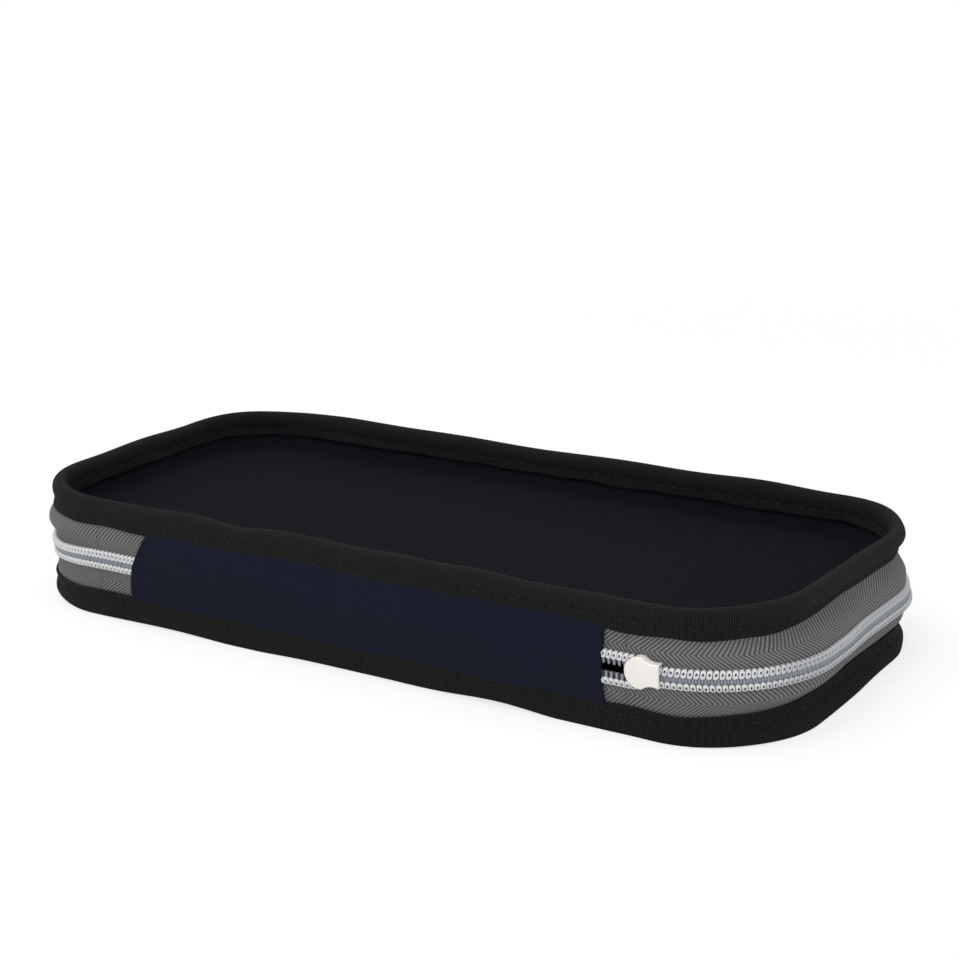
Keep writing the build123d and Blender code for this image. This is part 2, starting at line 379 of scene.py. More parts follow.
add_bump(tree, shader, maths(tree, "MULTIPLY_ADD", weft, 0.3, dashed), 0.16 * MM)

# %% [markdown]
# ### Spine and panels: dark navy cloth
# The spine is a matte, tightly woven navy cloth. The panels inside are a softer navy cloth with a faint violet cast;
# their colour is painted almost black, with painted shade for the shadow inside the case. Both use crossed ribs, which
# is what a plain weave is.

# %% Make the spine and panel cloths
def plain_weave(tree, along, across, pitch):
    """Height of a plain weave: each yarn goes over one and under the next."""
    first = use_group(tree, ribs_group, Distance=along, Pitch=2 * pitch).outputs[0]
    second = use_group(tree, ribs_group, Distance=across, Pitch=2 * pitch).outputs[0]
    first, second = (maths(tree, "MULTIPLY_ADD", yarns, 2, -1) for yarns in (first, second))
    crossed = maths(tree, "MULTIPLY", first, second)
    return maths(tree, "MULTIPLY_ADD", crossed, 0.5, 0.5)


spine_cloth, tree, shader = start_finish("spine_navy_weave", 0.9, sheen=0.012, specular=0.07)
along, across = cloth_axes(tree)
weave = plain_weave(tree, along, across, 0.36 * MM)
fading = use_group(tree, fade_group, Cloud_Scale=40.0, Lint_Scale=1300.0)
shade = blend_colour(tree, weave, (0.0012, 0.0016, 0.0050, 1), (0.0060, 0.0074, 0.0195, 1))
faded = blend_colour(tree, grey_range(tree, fading.outputs["Cloud"], 0.0, 0.4), shade, (0.0075, 0.0088, 0.0200, 1))
dusty = blend_colour(tree, grey_range(tree, fading.outputs["Lint"], 0.0, 0.06), faded, (0.05, 0.055, 0.08, 1))
tree.links.new(dusty, shader.inputs["Base Color"])
add_bump(tree, shader, weave, 0.08 * MM)

panel_cloth, tree, shader = start_finish("panel_navy_cloth_painted_shade", 0.92, sheen=0.006, specular=0.04)
place = tree.nodes.new("ShaderNodeTexCoord").outputs["Object"]
split = link_up(tree, "ShaderNodeSeparateXYZ", None, i0=place)
weave = plain_weave(tree, split.outputs[0], split.outputs[1], 0.42 * MM)
fading = use_group(tree, fade_group, Cloud_Scale=30.0, Lint_Scale=1100.0)
# Painted shade: these near-black colours darken the navy lining for the shadow that falls inside the case.
shade = blend_colour(tree, weave, (0.0010, 0.0008, 0.0018, 1), (0.0036, 0.0029, 0.0058, 1))
faded = blend_colour(tree, grey_range(tree, fading.outputs["Cloud"], 0.0, 0.5), shade, (0.0036, 0.0030, 0.0058, 1))
dusty = blend_colour(tree, grey_range(tree, fading.outputs["Lint"], 0.0, 0.06), faded, (0.022, 0.020, 0.027, 1))
tree.links.new(dusty, shader.inputs["Base Color"])
add_bump(tree, shader, weave, 0.10 * MM)

# %% [markdown]
# ### Coil, thread and slider
# The coil is white nylon. Where its loops hook together the light goes in and comes out bluish grey, so the mesh
# carries a value, `hooked`, that says how much of that a point shows, and another value that paints shade into the
# holes and at the foot of each loop. Towards the right end, where the loops are seen from the side, painted shade
# greys the white a little. The slider is metal under an off-white enamel.

# %% Make the coil, thread and slider finishes
coil_nylon, tree, shader = start_finish("coil_nylon", 0.42, specular=0.45)
hooked = tree.nodes.new("ShaderNodeAttribute")
hooked.attribute_name = "hooked"
fading = use_group(tree, fade_group, Cloud_Scale=120.0, Lint_Scale=1800.0)
white = blend_colour(tree, fading.outputs["Lint"], (0.50, 0.505, 0.52, 1), (0.66, 0.665, 0.68, 1))
bluish = blend_colour(tree, fading.outputs["Lint"], (0.16, 0.172, 0.205, 1), (0.23, 0.247, 0.285, 1))
place = tree.nodes.new("ShaderNodeTexCoord").outputs["Object"]
split = link_up(tree, "ShaderNodeSeparateXYZ", None, i0=place)
# Painted shade: towards the right end the white is blended halfway to the bluish grey.
painted_shade_far_end = link_up(tree, "ShaderNodeMapRange", None, i0=split.outputs[0], i1=124 * MM, i2=131 * MM, i3=0.0, i4=0.5)
white = blend_colour(tree, painted_shade_far_end.outputs[0], white, bluish)
# Painted shade: this value blends the coil to near black in its holes and at the foot of each loop.
painted_hole_shade = tree.nodes.new("ShaderNodeAttribute")
painted_hole_shade.attribute_name = "painted_hole_shade"
plain = blend_colour(tree, hooked.outputs["Fac"], white, bluish)
tree.links.new(blend_colour(tree, painted_hole_shade.outputs["Fac"], plain, (0.018, 0.019, 0.022, 1)), shader.inputs["Base Color"])
tree.links.new(grey_range(tree, fading.outputs["Cloud"], 0.32, 0.52), shader.inputs["Roughness"])

seam_thread, tree, shader = start_finish("seam_thread", 0.75, sheen=0.02, specular=0.2)
along, across = cloth_axes(tree)
twist = use_group(tree, ribs_group, Distance=maths(tree, "ADD", along, across), Pitch=0.4 * MM).outputs[0]
tree.links.new(
    blend_colour(tree, twist, (0.001, 0.001, 0.001, 1), (0.009, 0.009, 0.0095, 1)), shader.inputs["Base Color"]
)
add_bump(tree, shader, twist, 0.05 * MM)

slider_enamel, tree, shader = start_finish("slider_enamel", 0.42, specular=0.5)
shader.inputs["Coat Weight"].default_value = 0.25
shader.inputs["Coat Roughness"].default_value = 0.25
fading = use_group(tree, fade_group, Cloud_Scale=260.0, Lint_Scale=2200.0)
shade = blend_colour(tree, fading.outputs["Cloud"], (0.64, 0.61, 0.575, 1), (0.74, 0.71, 0.68, 1))
speck = grey_range(tree, fading.outputs["Lint"], 0.0, 0.16)
tree.links.new(blend_colour(tree, speck, shade, (0.50, 0.47, 0.44, 1)), shader.inputs["Base Color"])
tree.links.new(grey_range(tree, fading.outputs["Lint"], 0.34, 0.5), shader.inputs["Roughness"])
add_bump(tree, shader, fading.outputs["Lint"], 0.02 * MM)
print("finishes:", [m.name for m in bpy.data.materials if m.users][-7:])

# %% [markdown]
# ## Bindings
# Each binding is one tape folded over the raw edges. Sewn flat it would be dull: on the real case the fold is a soft
# roll, the stitch line pulls a valley into it, the lip below the stitches flares, and the rim wanders up and down by
# a millimetre. The section carries the roll and valley, and waves along the seam do the rest.

# %% Sew on the two bindings
binding_section = [
    (-0.30, 29.0), (-0.50, 29.9), (-0.85, 31.2), (-0.90, 31.7), (-0.55, 32.7), (-0.36, 34.0), (-0.62, 35.3),
    (-1.35, 36.3), (-2.40, 36.6), (-3.45, 36.2), (-4.10, 35.1), (-4.25, 33.6), (-4.05, 32.1), (-3.95, 31.5),
    (-4.10, 30.5), (-4.25, 29.2),
]
binding_thickness = 0.8


def tuck_at(legs):
    """Where the bindings' lips turn in under the roll: at the right end and its corners."""
    return between(legs, 1.15, 1.75, 3.3, 4.1)


def draw_at(legs):
    """Where the whole rim is drawn in, in metres: at the left end and its front corner."""
    return 0.9 * MM * between(legs, 6.2, 6.9, 7.6, 8.3)


stitch_height = 31.5 * MM
binding_stations = 560
around = np.linspace(0, seam_length, binding_stations, endpoint=False)
around_legs = legs_along(around)
seam_line, seam_out = outline_at(around_legs)
tucked = tuck_at(around_legs)
section_out, section_height, section_measure = ribbon(binding_section, binding_thickness, 34)


def binding_shape(seed, rim_bumps, lip_bumps, tuck):
    """The section at every station, with the rim and the lip wandering on their own."""
    above = np.clip((section_height - stitch_height) / (5 * MM), 0, 1)
    below = np.clip((stitch_height - section_height) / (2.5 * MM), 0, 1)
    rim = 0.28 * MM * soft_wave(around, seed) + sum(h * MM * bump_at(around, x * MM, w * MM) for x, h, w in rim_bumps)
    lip = 0.16 * MM * soft_wave(around, seed + 1, 9, 40)
    lip = lip + sum(h * MM * bump_at(around, x * MM, w * MM) for x, h, w in lip_bumps)
    bulge = 0.16 * MM * soft_wave(around, seed + 2, 11, 50)
    height = section_height + rim[:, None] * above + lip[:, None] * below
    out = section_out + bulge[:, None] * above * (1 - above) * 4
    out = out + 0.12 * MM * soft_wave(around, seed + 3)[:, None] * below
    valley = np.exp(-(((section_height - 31.2 * MM) / (1.1 * MM)) ** 2)) * (section_out > -2.4 * MM)
    out = out - tuck * tucked[:, None] * MM * (0.5 * valley + below * (section_out > -2.4 * MM))
    return out, height


upper_tuck, lower_tuck = 2.1, 1.0
rim_bumps = [(-55, 0.5, 9), (-38, -0.7, 7), (30, -0.5, 8), (45, 0.6, 9), (70, -0.4, 12)]
out, height = binding_shape(3, rim_bumps, [(2, -0.3, 3)], upper_tuck)
drawn_in = draw_at(around_legs)
upper_binding = band(
    "upper_binding_tape", around, seam_line[:, None, :], seam_out, out - drawn_in[:, None], height, section_measure,
    binding_cloth, closed=True,
)
out, height = binding_shape(8, [], [(72, 0.9, 12)], lower_tuck)
skirt = 0.45 + 2.6 * between(around_legs, 0.8, 1.75, 2.45, 3.5) + 0.7 * between(around_legs, 7.6, 8.2, 8.6, 9.0)
flare = skirt[:, None] * MM * np.clip((height - 32 * MM) / (4.6 * MM), 0, 1)
out = out + flare * (out > -2.4 * MM)
height = np.maximum(case_height - height, 0)
lower_binding = band(
    "lower_binding_tape", around, seam_line[:, None, :], seam_out, out, height, section_measure, binding_cloth,
    closed=True,
)

# %% [markdown]
# ## Stitches
# A row of lock stitches holds each binding, outside and inside. Geometry Nodes lay them: one small thread is set at
# even spaces on the stitch line, turned to follow it, and the copies are made real so that they export as a mesh.

# %% Build the tree that repeats a piece along a line
def repeat_tree(name):
    """Repeats a piece along a line that may lean, with a shift up where its start is parted from its partner."""
    tree = bpy.data.node_groups.new(name, "GeometryNodeTree")
    for label, kind, way in (
        ("Line", "NodeSocketGeometry", "INPUT"), ("Piece", "NodeSocketObject", "INPUT"),
        ("Count", "NodeSocketInt", "INPUT"), ("Parted Shift", "NodeSocketFloat", "INPUT"),
        ("Parting Start", "NodeSocketFloat", "INPUT"), ("Parting End", "NodeSocketFloat", "INPUT"),
        ("Finish", "NodeSocketMaterial", "INPUT"), ("Row", "NodeSocketGeometry", "OUTPUT"),
    ):
        tree.interface.new_socket(label, in_out=way, socket_type=kind)
    given, made = tree.nodes.new("NodeGroupInput"), tree.nodes.new("NodeGroupOutput")
    line = link_up(tree, "GeometryNodeMeshToCurve", None, i0=given.outputs["Line"])
    level = link_up(tree, "GeometryNodeSetCurveNormal", None, i0=line.outputs[0])
    if hasattr(level, "mode"):
        level.mode = "Z_UP"
    else:
        level.inputs["Mode"].default_value = "Z Up"
    spaced = link_up(tree, "GeometryNodeResampleCurve", None, i0=level.outputs[0])
    tree.links.new(given.outputs["Count"], spaced.inputs["Count"])
    run = tree.nodes.new("GeometryNodeSplineParameter").outputs["Length"]
    share = link_up(tree, "ShaderNodeMapRange", None, i0=run)
    tree.links.new(given.outputs["Parting Start"], share.inputs["From Min"])
    tree.links.new(given.outputs["Parting End"], share.inputs["From Max"])
    share.inputs["To Min"].default_value, share.inputs["To Max"].default_value = 1, 0
    rise = link_up(
        tree, "ShaderNodeMath", {"operation": "MULTIPLY"}, i0=share.outputs[0], i1=given.outputs["Parted Shift"]
    )
    shift = link_up(tree, "ShaderNodeCombineXYZ", None, i2=rise.outputs[0])
    facing = tree.nodes.new("FunctionNodeAxesToRotation")
    facing.primary_axis, facing.secondary_axis = "Z", "X"
    facing.inputs[0].default_value = (0, 0, 1)
    tree.links.new(tree.nodes.new("GeometryNodeInputNormal").outputs[0], facing.inputs[1])
    lean = tree.nodes.new("GeometryNodeInputNamedAttribute")
    lean.data_type = "FLOAT"
    lean.inputs["Name"].default_value = "lean"
    tip = tree.nodes.new("FunctionNodeAxisAngleToRotation")
    tip.inputs["Axis"].default_value = (0, -1, 0)
    tree.links.new(lean.outputs[0], tip.inputs["Angle"])
    leaning = tree.nodes.new("FunctionNodeRotateRotation")
    leaning.rotation_space = "LOCAL"
    tree.links.new(facing.outputs[0], leaning.inputs[0])
    tree.links.new(tip.outputs[0], leaning.inputs[1])
    shape = tree.nodes.new("GeometryNodeObjectInfo")
    tree.links.new(given.outputs["Piece"], shape.inputs[0])
    moved = link_up(tree, "GeometryNodeSetPosition", None, i0=spaced.outputs[0])
    tree.links.new(shift.outputs[0], moved.inputs["Offset"])
    copies = tree.nodes.new("GeometryNodeInstanceOnPoints")
    tree.links.new(moved.outputs[0], copies.inputs["Points"])
    tree.links.new(shape.outputs["Geometry"], copies.inputs["Instance"])
    tree.links.new(leaning.outputs[0], copies.inputs["Rotation"])
    real = link_up(tree, "GeometryNodeRealizeInstances", None, i0=copies.outputs[0])
    painted = link_up(tree, "GeometryNodeSetMaterial", None, i0=real.outputs[0])
    tree.links.new(given.outputs["Finish"], painted.inputs["Material"])
    tree.links.new(painted.outputs[0], made.inputs[0])
    return tree


repeat = repeat_tree("repeat_along_line")


def repeat_along(name, points, height, piece, count, material, closed=False, parting=(0.0, 0.0, 1.0), lean=None):
    """Lays copies of a piece on a line, and turns the result into a plain mesh."""
    line = np.column_stack([points, np.zeros(len(points)) + height])
    edges = [(i, i + 1) for i in range(len(line) - 1)] + ([(len(line) - 1, 0)] if closed else [])
    carrier = bpy.data.meshes.new(name + "_line")
    carrier.from_pydata(line.tolist(), edges, [])
    leans = np.zeros(len(line)) if lean is None else lean
    carrier.attributes.new("lean", "FLOAT", "POINT").data.foreach_set("value", leans.astype(np.float32))
    row = bpy.data.objects.new(name, carrier)
    bpy.context.scene.collection.objects.link(row)
    modifier = row.modifiers.new("repeat", "NODES")
    modifier.node_group = repeat
    values = {
        "Piece": piece, "Count": count, "Parted Shift": parting[0], "Parting Start": parting[1],
        "Parting End": parting[2], "Finish": material,
    }
    for item in repeat.interface.items_tree:
        if item.in_out == "INPUT" and item.name in values:
            modifier[item.identifier] = values[item.name]
    bpy.context.view_layer.update()
    solid = bpy.data.meshes.new_from_object(row.evaluated_get(bpy.context.evaluated_depsgraph_get()))
    row.modifiers.remove(modifier)
    row.data = solid
    solid.name = name
    if "lean" in solid.attributes:
        solid.attributes.remove(solid.attributes["lean"])
    print(f"{name}: {count} copies, {len(solid.polygons)} faces")
    return row


def hidden_shape(name, points, faces):
    """A small mesh to repeat: outward is X, along is Y and up is Z. It isn't shown itself."""
    mesh = bpy.data.meshes.new(name)
    mesh.from_pydata([tuple(p) for p in points], [], faces)
    mesh.polygons.foreach_set("use_smooth", [True] * len(faces))
    return bpy.data.objects.new(name, mesh)


# %% Sew the four rows of stitches
stitch_pitch = 4.1 * MM
stitch_run = [
    (-1.2, -0.30, 0.08), (-0.9, -0.08, 0.13), (-0.4, 0.0, 0.16),
    (0.4, 0.0, 0.16), (0.9, -0.08, 0.13), (1.2, -0.30, 0.08),
]
sides = 6
stitch_points, stitch_faces = [], []
for along_at, rise_at, radius in stitch_run:
    for k in range(sides):
        angle = 2 * math.pi * k / sides
        stitch_points.append(
            Vector((rise_at + radius * math.cos(angle), along_at, radius * math.sin(angle))) * MM
        )
for i in range(len(stitch_run) - 1):
    for k in range(sides):
        m = (k + 1) % sides
        stitch_faces.append((i * sides + k, (i + 1) * sides + k, (i + 1) * sides + m, i * sides + m))
stitch_faces += [tuple(range(sides)), tuple(reversed(range((len(stitch_run) - 1) * sides, len(stitch_run) * sides)))]
stitch = hidden_shape("stitch", stitch_points, stitch_faces)
stitch_count = round(seam_length / stitch_pitch)
stitch_rows = {}
for label, out_mm, height_m in (
    ("upper_outer_stitches", -0.44 - 0.5 * upper_tuck * tucked - drawn_in / MM, stitch_height),
    ("upper_inner_stitches", -4.36 - drawn_in / MM, stitch_height),
    ("lower_outer_stitches", -0.44 - 0.5 * lower_tuck * tucked, case_height - stitch_height),
    ("lower_inner_stitches", -4.36 + 0 * tucked, case_height - stitch_height),
):
    stitch_rows[label] = repeat_along(
        label, seam_line + seam_out * out_mm[:, None] * MM, height_m, stitch, stitch_count, seam_thread, closed=True
    )

# %% [markdown]
# ## Zip tapes
# Each tape comes out from under a binding's lip, bellies outwards, and runs up to the coil. Its two ends are sewn to
# the spine, and a short stub at each end is a piece of its own.

# %% Weave the tapes
tape_section = [
    (-1.35, 5.2), (-1.28, 7.0), (-1.05, 8.2), (-0.72, 9.6), (-0.38, 11.4), (-0.18, 13.4), (-0.15, 15.2), (-0.15, 16.9),
]
stub_section = tape_section[1:]
tape_thickness = 0.6
stub_right, stub_left = 91 * MM, zip_round - 91 * MM
belly_line = smooth_line(
    [
        (0, 8.0), (0.05, 8.6), (0.45, 10.2), (0.9, 12.4), (1, 14.2), (1, 18.5), (1, 22), (0.84, 24), (0.42, 26.4),
        (0.05, 28.4), (0, 29),
    ],
    80,
)


def belly_lines(distance, height):
    """Where points at these heights lie, between the seam and the zip line, and how the zip leans at its two ends."""
    legs = legs_along(distance, zip_belly)
    seam_points, outward = outline_at(legs)
    dent = MM * (1.4 * between(legs, 2.14, 2.6, 3.4, 4.0) + 1.5 * between(legs, 6.7, 7.25, 7.75, 8.12))
    shift = outline_at(legs, zip_belly)[0] - seam_points - outward * dent[:, None]
    share = np.interp(height, belly_line[:, 1], belly_line[:, 0]) / MM
    line = seam_points[:, None, :] + shift[:, None, :] * share[None, :, None]
    sag = MM * (0.6 * between(legs, 2.14, 2.75, 3.2, 4.1) + 2.2 * between(legs, 6.2, 7.1, 7.55, 8.12))
    droop = sag[:, None] * np.interp(height, np.array([8.5, 13, 18.5, 24, 28.5]) * MM, [0, 0.7, 1, 0.7, 0])
    lean = between(legs, 2.14, 2.75, 3.3, 4.1) - 0.4 * between(legs, 6.5, 7.2, 7.7, 8.1)
    return line, outward, height - droop, lean


def tape(name, section, start, stop, upper, first_height):
    """A run of tape from one distance to another, on the upper or the lower side of the zip."""
    steps = max(8, int((stop - start) / (1.3 * MM)))
    distance = np.linspace(start, stop, steps)
    out, height, measure = ribbon(section, tape_thickness, 20)
    belly = 0.14 * MM * soft_wave(distance, 31 if upper else 37, 8, 40)
    free = np.clip((height - 8.5 * MM) / (4 * MM), 0, 1) * np.clip((16.9 * MM - height) / (4 * MM), 0, 1)
    reach, depth = (13.0, 2.35) if upper else (11, 1.25)
    under_lip = depth * MM * np.clip((reach * MM - height) / ((reach - 7.8) * MM), 0, 1)
    legs = legs_along(distance, zip_belly)
    out = out + belly[:, None] * free - under_lip * tuck_at(legs)[:, None]
    if upper:
        sewn = np.clip((9.5 * MM - height) / (1.5 * MM), 0, 1)
        pouch = 1.7 * MM * between(legs, 6.6, 7.2, 7.75, 8.1)
        out = out - draw_at(legs)[:, None] * sewn
        out = out + pouch[:, None] * np.exp(-(((height - 11.2 * MM) / (2.2 * MM)) ** 2)) * (1 - sewn)
        height = case_height - height
    line, outward, height = belly_lines(distance, height)[:3]
    along = -distance if upper else distance
    return band(name, along, line, outward, out, height, measure + first_height, tape_cloth)


hidden_part = 1.80 * MM
tapes = {}
for side, upper, left_end in (("lower", False, -76.4), ("upper", True, -69.6)):
    tapes[side] = tape(f"{side}_zip_cloth", tape_section, stub_right, stub_left, upper, 0.0)
    tapes[side + "_start"] = tape(
        f"{side}_zip_cloth_start", stub_section, zip_start - 1.5 * MM, stub_right, upper, hidden_part
    )
    tapes[side + "_end"] = tape(
        f"{side}_zip_cloth_end", stub_section, stub_left, zip_round + left_end * MM, upper, hidden_part
    )

# %% [markdown]
# ## Zip coils
# A nylon coil looks like a row of small links: each turn is a flattened loop with a hole, whose shade is painted in,
# and from its inner end a head reaches across to hook between the other side's heads. One link is modelled with a few
# dozen faces, and the same Geometry Nodes tree repeats it round the seam. Before the slider the two rows are parted, so
# the tree lifts each link by a share that falls from one to nothing inside the slider.

# %% Model one link of the coil
def rounded_ring(half_along, half_up, corner, centre_up):
    """Twelve points round a rounded rectangle, along and up, in millimetres."""
    ring = []
    for sign_along, sign_up, first in ((1, -1, -90), (1, 1, 0), (-1, 1, 90), (-1, -1, 180)):
        for angle in (first, first + 45, first + 90):
            ring.append((
                sign_along * (half_along - corner) + corner * math.cos(math.radians(angle)),
                centre_up + sign_up * (half_up - corner) + corner * math.sin(math.radians(angle)),
            ))
    return ring


def coil_link(name, side):
    """One turn of a coil and its head; side is 1 for the upper coil and -1 for the lower."""
    loop_middle, slant = 1.82, 0.16
    layers = [
        (rounded_ring(0.66, 1.06, 0.44, loop_middle), 0.25), (rounded_ring(0.77, 1.14, 0.50, loop_middle), 0.90),
        (rounded_ring(0.72, 1.08, 0.48, loop_middle), 1.40), (rounded_ring(0.52, 0.80, 0.36, loop_middle), 1.66),
        (rounded_ring(0.27, 0.36, 0.18, loop_middle + 0.16), 1.50),
        (rounded_ring(0.22, 0.30, 0.14, loop_middle + 0.16), 1.05),
    ]
    points, faces, hooked_values, painted_hole_shade_values = [], [], [], []
    for level, (ring, out_at) in enumerate(layers):
        for along_at, up_at in ring:
            droop = 0.85 * max(0.0, (up_at - 2.15) / 0.75) ** 2
            points.append(((out_at - droop), along_at + slant * (up_at - loop_middle), side * up_at))
            hooked_values.append(0.35 * max(0.0, min(1.0, (1.05 - up_at) / 0.4)))
            # Painted shade: the foot of each loop and the floor of its hole take the dark colour.
            painted_hole_shade_values.append((0.97, 0.72, 0.06, 0.0, 0.35, 1.0)[level])
    bottom = tuple(5 * 12 + k for k in range(12))
    faces.append(bottom if side > 0 else bottom[::-1])
    for i in range(len(layers) - 1):
        for k in range(12):
            m = (k + 1) % 12
            quad = (i * 12 + k, i * 12 + m, (i + 1) * 12 + m, (i + 1) * 12 + k)
            faces.append(quad if side > 0 else quad[::-1])
    head_profile = [(-0.37, 0.45), (-0.37, 1.02), (-0.20, 1.20), (0.20, 1.20), (0.37, 1.02), (0.37, 0.45)]
    first = len(points)
    for up_at, size in ((-0.85, 0.7), (-0.6, 1.0), (0.95, 1.0)):
        for along_at, out_at in head_profile:
            points.append((0.45 + (out_at - 0.45) * size, along_at * size + slant * (0.9 - loop_middle), side * up_at))
            hooked_values.append(1.0)
            painted_hole_shade_values.append(0.0)
    for i in range(2):
        for k in range(6):
            m = (k + 1) % 6
            quad = (first + i * 6 + k, first + i * 6 + m, first + (i + 1) * 6 + m, first + (i + 1) * 6 + k)
            faces.append(quad if side > 0 else quad[::-1])
    cap = tuple(first + k for k in range(6))
    faces.append(cap[::-1] if side > 0 else cap)
    link = hidden_shape(name, np.array(points) * MM, faces)
    link.data.attributes.new("hooked", "FLOAT", "POINT").data.foreach_set("value", hooked_values)
    link.data.attributes.new("painted_hole_shade", "FLOAT", "POINT").data.foreach_set("value", painted_hole_shade_values)
    return link


# %% Lay the coils
link_pitch = 1.6 * MM
parted_shift = 1.85 * MM
coil_lean = math.radians(13)
slider_run = corner_x - zip_start
parting_start, parting_end = slider_run - 3.5 * MM, slider_run + 1.0 * MM
coils = {}
for side_name, side, phase in (("lower", -1, -0.5), ("upper", 1, 0.0)):
    link = coil_link(f"{side_name}_link", side)
    total = int((zip_end - zip_start) / link_pitch - phase) + 2
    at_right, at_left = 5, total - 8
    for part, low, high in (("_start", 0, at_right), ("", at_right, at_left), ("_end", at_left, total)):
        first, last = zip_start + (low + phase) * link_pitch, zip_start + (high - 1 + phase) * link_pitch
        fine = np.linspace(first, last, 4 * (high - low))
        line, outward, level, lean = belly_lines(fine, np.array([zip_line]))
        shift = (side * parted_shift, parting_start - (first - zip_start), parting_end - (first - zip_start))
        coils[side_name + part] = repeat_along(
            f"{side_name}_coil_links{part}", line[:, 0], level[:, 0], link, high - low, coil_nylon, parting=shift,
            lean=coil_lean * lean,
        )

# %% [markdown]
# ## Spine
# The spine is a strip of navy cloth, bowed a little and turned under at both ends, where a pressed line shows. When the
# case opens it folds along both long edges, so it is made as three strips: the middle rides with the spine, and the two
# edge strips stay where they are.

# %% Cut the spine strip
def strip(name, low, high, material, rows, columns=150):
    """A closed strip of the spine between two heights, a little thicker at its turned-under ends."""
    x = np.linspace(spine_low.x, spine_high.x, columns)
    x[1:-1] = np.linspace(spine_low.x + 0.4 * MM, spine_high.x - 0.4 * MM, columns - 2)
    z = np.linspace(low, high, rows)
    gx, gz = np.meshgrid(x, z, indexing="ij")
    from_end = np.minimum(gx - spine_low.x, spine_high.x - gx)
    left_edge = np.interp(gz, np.array([7, 10, 19, 28.8, 31]) * MM, np.array([-79.4, -79.1, -77.0, -72.4, -71.5]) * MM)
    gx = spine_high.x - (spine_high.x - gx) * (spine_high.x - left_edge) / (spine_high.x - spine_low.x)
    share = np.clip((gz - 8.6 * MM) / (19.8 * MM), 0, 1)
    out = 0.42 * MM + 1.05 * MM * 4 * share * (1 - share)
    pressed = -0.22 * MM * np.exp(-(((from_end - 1.9 * MM) / (0.45 * MM)) ** 2))
    ripple = 0.10 * MM * np.sin(gx * 210 + 3 * np.sin(gx * 61)) * np.sin(math.pi * share)
    tuck = -0.9 * MM * np.clip((8.4 * MM - gz) / (2 * MM), 0, 1) - 0.9 * MM * np.clip((gz - 28.6 * MM) / (2 * MM), 0, 1)
    over_zip = 0.5 * MM * np.exp(-((from_end / (3 * MM)) ** 2)) * np.sin(math.pi * share)
    out = out + pressed + ripple + tuck + over_zip
    edge = np.where(np.isclose(from_end, 0), 0.30 * MM, 0)
    thickness = 0.75 * MM
    front_face = np.stack([gx, -half_width - out + edge, gz], -1)
    back_face = np.stack([gx, -half_width - out + thickness - edge, gz], -1)
    count = columns * rows
    points = np.concatenate([front_face.reshape(-1, 3), back_face.reshape(-1, 3)])
    faces, uv = [], []

    def put(quad):
        faces.append(quad)
        uv.extend((points[p][0], points[p][2]) for p in quad)

    for i in range(columns - 1):
        for k in range(rows - 1):
            a, b, c, d = i * rows + k, (i + 1) * rows + k, (i + 1) * rows + k + 1, i * rows + k + 1
            put((a, b, c, d))
            put((count + d, count + c, count + b, count + a))
        for a, b in ((i * rows, (i + 1) * rows), ((i + 1) * rows + rows - 1, i * rows + rows - 1)):
            put((b, a, count + a, count + b))
    for k in range(rows - 1):
        for a, b in ((k + 1, k), ((columns - 1) * rows + k, (columns - 1) * rows + k + 1)):
            put((b, a, count + a, count + b))
    return mesh_piece(name, points, faces, material, uv)


spine_main = strip("spine_cloth_middle", 11 * MM, 26 * MM, spine_cloth, 22)
spine_foot = strip("spine_cloth_lower_fold", 6.6 * MM, 11 * MM, spine_cloth, 12)
spine_head = strip("spine_cloth_upper_fold", 26 * MM, 30.4 * MM, spine_cloth, 12)
print("spine strips:", [len(p.data.polygons) for p in (spine_main, spine_foot, spine_head)])

# %% [markdown]
# ## Panels
# Both panels are thin foam under cloth. A panel is drawn as rings that shrink from the seam to a line down the middle,
# so its faces follow the rounded outline, and slow ripples keep the cloth from looking like a moulded tray.

# %% Make the two padded panels
def panel(name, over, under, ripple_depth, seed, tuck):
    """A closed pad. Over and under are insets and heights, in millimetres, from the edge to where the flat begins."""
    stations = 320
    legs = legs_along(np.linspace(0, seam_length, stations, endpoint=False))
    points, outward = outline_at(legs)
    drawn = outward * (tuck * MM * tuck_at(legs) + draw_at(legs) * (tuck == upper_tuck))[:, None]
    spine_line = np.column_stack([np.clip(points[:, 0], -78 * MM, 78 * MM), np.zeros(stations)])
    rings = []

    def add_side(profile, order):
        flat_inset, flat_height = profile[-1]
        edge = smooth_line(profile, 18)
        flat_ring = points - outward * flat_inset * MM
        made = []
        for inset, height in edge:
            pulled = drawn * max(0, 1 - max(0, inset / MM - 1.8) / 1.6)
            made.append((points - outward * inset - pulled, height))
        made += [(flat_ring + (spine_line - flat_ring) * t, flat_height * MM) for t in np.linspace(0.05, 1, 26)]
        rings.extend(made[::order])

    add_side(over, -1)
    add_side(under, 1)
    draw = np.random.default_rng(seed)
    waves = [(draw.uniform(20, 110), draw.uniform(0, 6.28), draw.uniform(0, 6.28)) for _ in range(7)]
    corners = np.empty((len(rings), stations, 3))
    for r, (ring, height) in enumerate(rings):
        corners[r, :, :2] = ring
        inward = np.clip((half_width - 3.9 * MM - np.abs(ring[:, 1])) / (8 * MM), 0, 1)
        inward = np.minimum(inward, np.clip((half_length - 3.9 * MM - np.abs(ring[:, 0])) / (8 * MM), 0, 1))
        ripple = sum(np.sin(f * (ring[:, 0] * math.cos(a) + ring[:, 1] * math.sin(a)) + p) for f, a, p in waves)
        corners[r, :, 2] = height + ripple_depth * MM * ripple / 3 * inward
    faces = []
    for r in range(len(rings) - 1):
        for k in range(stations):
            m = (k + 1) % stations
            faces.append((r * stations + k, (r + 1) * stations + k, (r + 1) * stations + m, r * stations + m))
    piece = mesh_piece(name, corners.reshape(-1, 3), faces, panel_cloth)
    clean_mesh(piece)
    print(f"{name}: {len(piece.data.polygons)} faces")
    return piece


